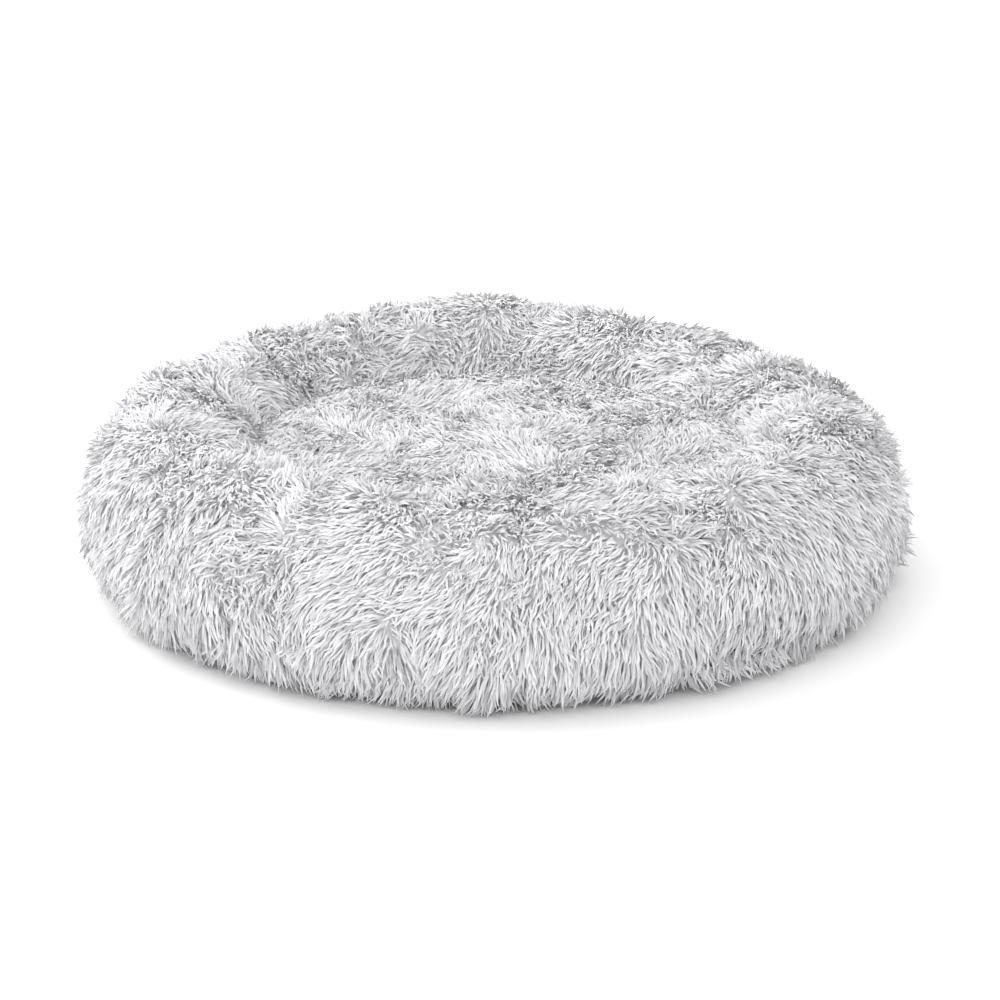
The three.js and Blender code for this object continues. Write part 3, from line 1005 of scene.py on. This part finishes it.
# %% Wall of the well and the tapes behind the seams
twill = Finish("seam twill", Roughness=0.85)
diagonal = twill.node("ShaderNodeTexWave", {"bands_direction": "DIAGONAL"},
                      {"Vector": twill.place(), "Scale": 420.0})
twill.bump(diagonal, 0.4, 0.0003)
twill.wear("Base Color", twill.blend(diagonal, (0.52, 0.52, 0.54), (0.66, 0.66, 0.68)))


def closed_band(name, outer, inner, material):
    """A thin band round the bed, from two nets of its faces."""
    return closed_ring(name, np.concatenate([outer, inner[:, ::-1]], axis=1), material)


def upright(radius, low, high, steps=6):
    return turned_round([(radius, z) for z in np.linspace(low, high, steps)])


wall_cloth = closed_band("inner_wall_cloth", upright(wall_radius - 0.0001, 0.0021, wall_top),
                         upright(wall_radius - 0.0010, 0.0021, wall_top), cotton.material)
flat_cut(wall_cloth, "inner_wall")
tape_low, tape_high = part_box("inner_seam_tape")
tape_radius = tape_high[0]
inner_tape = closed_band("inner_seam_twill", upright(tape_radius - 0.0002, tape_low[2], tape_high[2], 3),
                         upright(tape_radius - 0.0009, tape_low[2], tape_high[2], 3), twill.material)
flat_cut(inner_tape, "inner_seam_tape")


def seam_strip(column, half_width, depth):
    """A strip of even width behind a cross seam, as a net of three columns."""
    own = slice(3, -3)
    middle = ring_back[column, own]
    strip = []
    for side in (-1, 0, 1):
        aside = ring_back[(column + side) % columns, own] - middle
        reach = np.maximum(np.linalg.norm(aside, axis=1, keepdims=True), 1e-6)
        strip.append(middle + aside / reach * half_width * abs(side) - ring_normal[column, own] * depth)
    return np.array(strip)


tape_lengths = []
for number in range(panel_count):
    place = number * columns_per_panel
    strip = seam_strip(place, 0.005, 0.0014)
    tape = shell(f"rim_seam_twill_{number + 1}", strip, 0.0006, twill.material,
                 np.stack([ring_normal[place, 3:-3]] * 3))
    length = float(np.linalg.norm(np.diff(strip[1], axis=0), axis=1).sum())
    tape_lengths.append(length)
    flat_cut(tape, f"rim_seam_tape_{number + 1}")
print("twelve seam tapes,", round(min(tape_lengths), 3), "to", round(max(tape_lengths), 3), "m long")

# %% [markdown]
# The care label is a folded satin ribbon caught in the hem, left blank here. It hangs free over the
# base's border, so it is drawn as a small net of its own that bows out a little.

# %% Care label
satin = Finish("label satin", Roughness=0.45, Sheen_Weight=0.2)
ribs = satin.node("ShaderNodeTexWave", {"bands_direction": "Z"}, {"Vector": satin.place(), "Scale": 900.0})
satin.bump(ribs, 0.25, 0.0002)
satin.wear("Base Color", satin.blend(satin.noise(40.0), (0.84, 0.83, 0.81), (0.93, 0.92, 0.90)))
label_turns, label_angles = np.linspace(166.0, 170.4, 9), np.linspace(-50.0, -68.0, 8)


def label_net(out):
    bow = 0.0004 * np.sin(np.linspace(0, math.pi, len(label_angles)))
    before, after = (np.array(ring_section(label_angles + step)).T for step in (-0.5, 0.5))
    along = (after - before) / np.linalg.norm(after - before, axis=1, keepdims=True)
    outward = np.stack([along[:, 1], -along[:, 0]], axis=1)
    section = np.array(ring_section(label_angles)).T + outward * (out + bow)[:, None]
    return turned_round(section, label_turns)


label_faces = label_net(0.0033)
label = shell("care_label_satin", label_faces, 0.0004, satin.material,
              net_normals(label_faces, False))
flat_cut(label, "care_label")

# %% [markdown]
# ## Stitches, grip dots and the zip's coils
#
# Thread stitches repeat along a seam, so one small tree lays them: it takes any line of edges, puts
# a point on it for each stitch and turns a spindle of thread along the line. A slant leans them, as
# the hand-sewn overcast stitches that close the liners lean. A second tree covers the base with a
# grid of rubber dots, and a third winds a nylon monofilament into the coil of a zip.

# %% Tree for a row of stitches
def laid_by(tree, name, points, edges, finish, values):
    """Runs a tree on a line of points and gives the plain mesh."""
    mesh = bpy.data.meshes.new(name + " line")
    mesh.from_pydata([tuple(p) for p in points], edges, [])
    line = bpy.data.objects.new(name + " line", mesh)
    bpy.context.scene.collection.objects.link(line)
    modifier = line.modifiers.new("tree", "NODES")
    modifier.node_group = tree
    set_inputs(modifier, tree, {**values, "Finish": finish.material})
    piece = plain_mesh(line, name)
    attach(piece, "bed")
    return piece


wires, made, finished = new_tree("row of stitches", {
    "Pitch": ("NodeSocketFloat", 0.005), "Stitch": ("NodeSocketFloat", 0.0034),
    "Thread": ("NodeSocketFloat", 0.0004), "Slant": ("NodeSocketFloat", 0.0),
    "Finish": ("NodeSocketMaterial", None)})
seam = made("GeometryNodeMeshToCurve", {}, {"Mesh": wires["Geometry"]})
spots = seam.tree.nodes.new("GeometryNodeCurveToPoints")
spots.mode = "LENGTH"
feed(seam.tree, spots.inputs["Curve"], seam)
feed(seam.tree, spots.inputs["Length"], wires["Pitch"])
spindle = made("GeometryNodeMeshUVSphere", {}, {"Segments": 6, "Rings": 4, "Radius": 1.0})
size = made("ShaderNodeCombineXYZ", {},
            {"X": wires["Thread"], "Y": wires["Thread"], "Z": wires["Stitch"] * 0.5})
row = made("GeometryNodeInstanceOnPoints", {},
           {"Points": Wire(seam.tree, spots.outputs["Points"]), "Instance": spindle,
            "Rotation": Wire(seam.tree, spots.outputs["Rotation"]), "Scale": size})
lean = made("ShaderNodeCombineXYZ", {}, {"Y": wires["Slant"]})
row = made("GeometryNodeRotateInstances", {}, {"Instances": row, "Rotation": lean})
stitch_tree = finished(row)
print("the stitches' tree has", len(stitch_tree.nodes), "nodes")

# %% Lay the stitches
thread = Finish("sewing thread", Roughness=0.6, Sheen_Weight=0.2)
ply = thread.node("ShaderNodeTexWave", {"bands_direction": "DIAGONAL"},
                  {"Vector": thread.place(), "Scale": 700.0})
thread.bump(ply, 0.4, 0.0001)
thread.wear("Base Color", thread.blend(ply, (0.55, 0.55, 0.57), (0.72, 0.72, 0.74)))


def line_round(radius, height, first=0.0, last=360.0, step=1.5):
    turns = np.arange(first, last + 0.01, step)
    whole = last - first >= 360
    points = turned_round([(radius, height)], turns[:-1] if whole else turns)[:, 0]
    edges = [(i, i + 1) for i in range(len(points) - 1)] + ([(len(points) - 1, 0)] if whole else [])
    return points, edges


hem_out = np.array(ring_section(np.array(hem_angle - 3.0))) + zip_out * 0.0009
hem_line = line_round(*hem_out, zip_end + 4, 360.0 + zip_start - 4)
hem_stitch = laid_by(stitch_tree, "hem_stitch_back", *hem_line, thread, {"Pitch": 0.005})
overcast = {"Pitch": 0.0030, "Stitch": 0.0060, "Slant": 0.9}
for name, radius in (("rim", wall_radius + 0.0017), ("centre", wall_low[0] * -1 - 0.0038)):
    slit = line_round(radius, 0.069, 82.5, 97.5)
    closing = laid_by(stitch_tree, f"{name}_liner_overcast", *slit, thread, overcast)
    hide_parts(f"{name}_liner_stitch")
print("hem stitching:", len(hem_stitch.data.polygons) // 24, "stitches")

# %% Rubber dots under the base
wires, made, finished = new_tree("grip dots", {
    "Reach": ("NodeSocketFloat", 0.40), "Pitch": ("NodeSocketFloat", 0.018),
    "Dot": ("NodeSocketFloat", 0.0021), "Height": ("NodeSocketFloat", 0.0009),
    "Finish": ("NodeSocketMaterial", None)})
across_count = 46
span = wires["Pitch"] * float(across_count - 1)
grid = made("GeometryNodeMeshGrid", {}, {"Size X": span, "Size Y": span, "Vertices X": across_count,
                                         "Vertices Y": across_count})
away = made("ShaderNodeVectorMath", {"operation": "LENGTH"}, {0: made("GeometryNodeInputPosition")}, 1)
inside = made("FunctionNodeCompare", {"data_type": "FLOAT", "operation": "LESS_THAN"},
              {0: away, 1: wires["Reach"]})
dome = made("GeometryNodeMeshUVSphere", {}, {"Segments": 8, "Rings": 3, "Radius": 1.0})
size = made("ShaderNodeCombineXYZ", {}, {"X": wires["Dot"], "Y": wires["Dot"], "Z": wires["Height"] * 0.5})
dots = made("GeometryNodeInstanceOnPoints", {}, {"Points": grid, "Selection": inside, "Instance": dome,
                                                 "Scale": size})
lift_dots = made("ShaderNodeCombineXYZ", {}, {"Z": wires["Height"] * 0.5})
dots = made("GeometryNodeTranslateInstances", {}, {"Instances": dots, "Translation": lift_dots,
                                                   "Local Space": False})
dot_tree = finished(dots)
rubber = Finish("grip rubber", Roughness=0.55)
rubber.wear("Base Color", rubber.blend(rubber.noise(300.0), (0.10, 0.10, 0.11), (0.16, 0.16, 0.17)))
grip = laid_by(dot_tree, "base_grip_dots", [(0, 0, 0)], [], rubber, {})
print("grip dots:", len(grip.data.polygons) // 24)

# %% Coils of the zip
wires, made, finished = new_tree("zip coil", {
    "Turns": ("NodeSocketFloat", 800.0), "Half width": ("NodeSocketFloat", 0.0008),
    "Half height": ("NodeSocketFloat", 0.0011), "Wire": ("NodeSocketFloat", 0.00022),
    "Across r": ("NodeSocketFloat", float(zip_across[0])),
    "Across z": ("NodeSocketFloat", float(zip_across[1])),
    "Count": ("NodeSocketInt", 4800), "Finish": ("NodeSocketMaterial", None)})
path = made("GeometryNodeMeshToCurve", {}, {"Mesh": wires["Geometry"]})
path = made("GeometryNodeResampleCurve", {}, {"Curve": path, "Count": wires["Count"]})
flat = made("ShaderNodeVectorMath", {"operation": "MULTIPLY"},
            {0: made("GeometryNodeInputPosition"), 1: (1.0, 1.0, 0.0)})
radial = made("ShaderNodeVectorMath", {"operation": "NORMALIZE"}, {0: flat})
upward = made("ShaderNodeCombineXYZ", {}, {"Z": wires["Across z"]})
coil_across = radial * wires["Across r"] + upward
upward = made("ShaderNodeCombineXYZ", {}, {"Z": wires["Across r"] * -1.0})
coil_out = radial * wires["Across z"] + upward
phase = made("GeometryNodeSplineParameter") * (wires["Turns"] * (2 * math.pi))
turn_cos = made("ShaderNodeMath", {"operation": "COSINE"}, {0: phase})
turn_sin = made("ShaderNodeMath", {"operation": "SINE"}, {0: phase})
wound = coil_across * (turn_cos * wires["Half width"]) + coil_out * (turn_sin * wires["Half height"])
path = made("GeometryNodeSetPosition", {}, {"Geometry": path, "Offset": wound})
round_wire = made("GeometryNodeCurvePrimitiveCircle", {"mode": "RADIUS"},
                  {"Resolution": 3, "Radius": wires["Wire"]})
coil_tree = finished(made("GeometryNodeCurveToMesh", {},
                          {"Curve": path, "Profile Curve": round_wire, "Fill Caps": True}))
nylon = Finish("zip nylon", Roughness=0.4)
nylon.wear("Base Color", nylon.blend(nylon.noise(120.0), (0.38, 0.39, 0.41), (0.48, 0.49, 0.51)))
for name, side in (("base", -1), ("rim", 1)):
    middle = zip_middle + zip_across * 0.0017 * side
    points, edges = line_round(*middle, zip_start + 1, zip_end - 1)
    coil = laid_by(coil_tree, f"zip_coil_{name}", points, edges, nylon, {})
    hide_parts(f"zip_teeth_{name}")
print("each zip coil has", len(coil.data.polygons), "faces")

# %% [markdown]
# The zip's tapes, stops, slider and pull have the right shape in the engineering model already, so
# they only get their finishes: a close herring-bone weave on the tapes, and a plated metal whose
# polish is dulled by handling.

# %% Finishes of the zip's own parts
tape_weave = Finish("zip tape weave", Roughness=0.8)
bone = tape_weave.node("ShaderNodeTexWave", {"bands_direction": "DIAGONAL"},
                       {"Vector": tape_weave.place(), "Scale": 520.0, "Distortion": 0.5})
tape_weave.bump(bone, 0.4, 0.0002)
tape_weave.wear("Base Color", tape_weave.blend(bone, (0.33, 0.34, 0.36), (0.43, 0.44, 0.46)))
plated = Finish("plated metal", Metallic=1.0)
scuffs = plated.noise(500.0, 4.0)
plated.wear("Roughness", plated.clamp(scuffs, 0.0, 2.4))
plated.wear("Base Color", plated.blend(scuffs, (0.50, 0.51, 0.53), (0.66, 0.67, 0.69)))
for name, finish in (("zip_tape_base", tape_weave), ("zip_tape_rim", tape_weave),
                     ("zip_stop_start", plated), ("zip_stop_end", plated),
                     ("zip_slider", plated), ("zip_pull", plated)):
    for slot in bpy.data.objects[name].material_slots:
        slot.material = finish.material
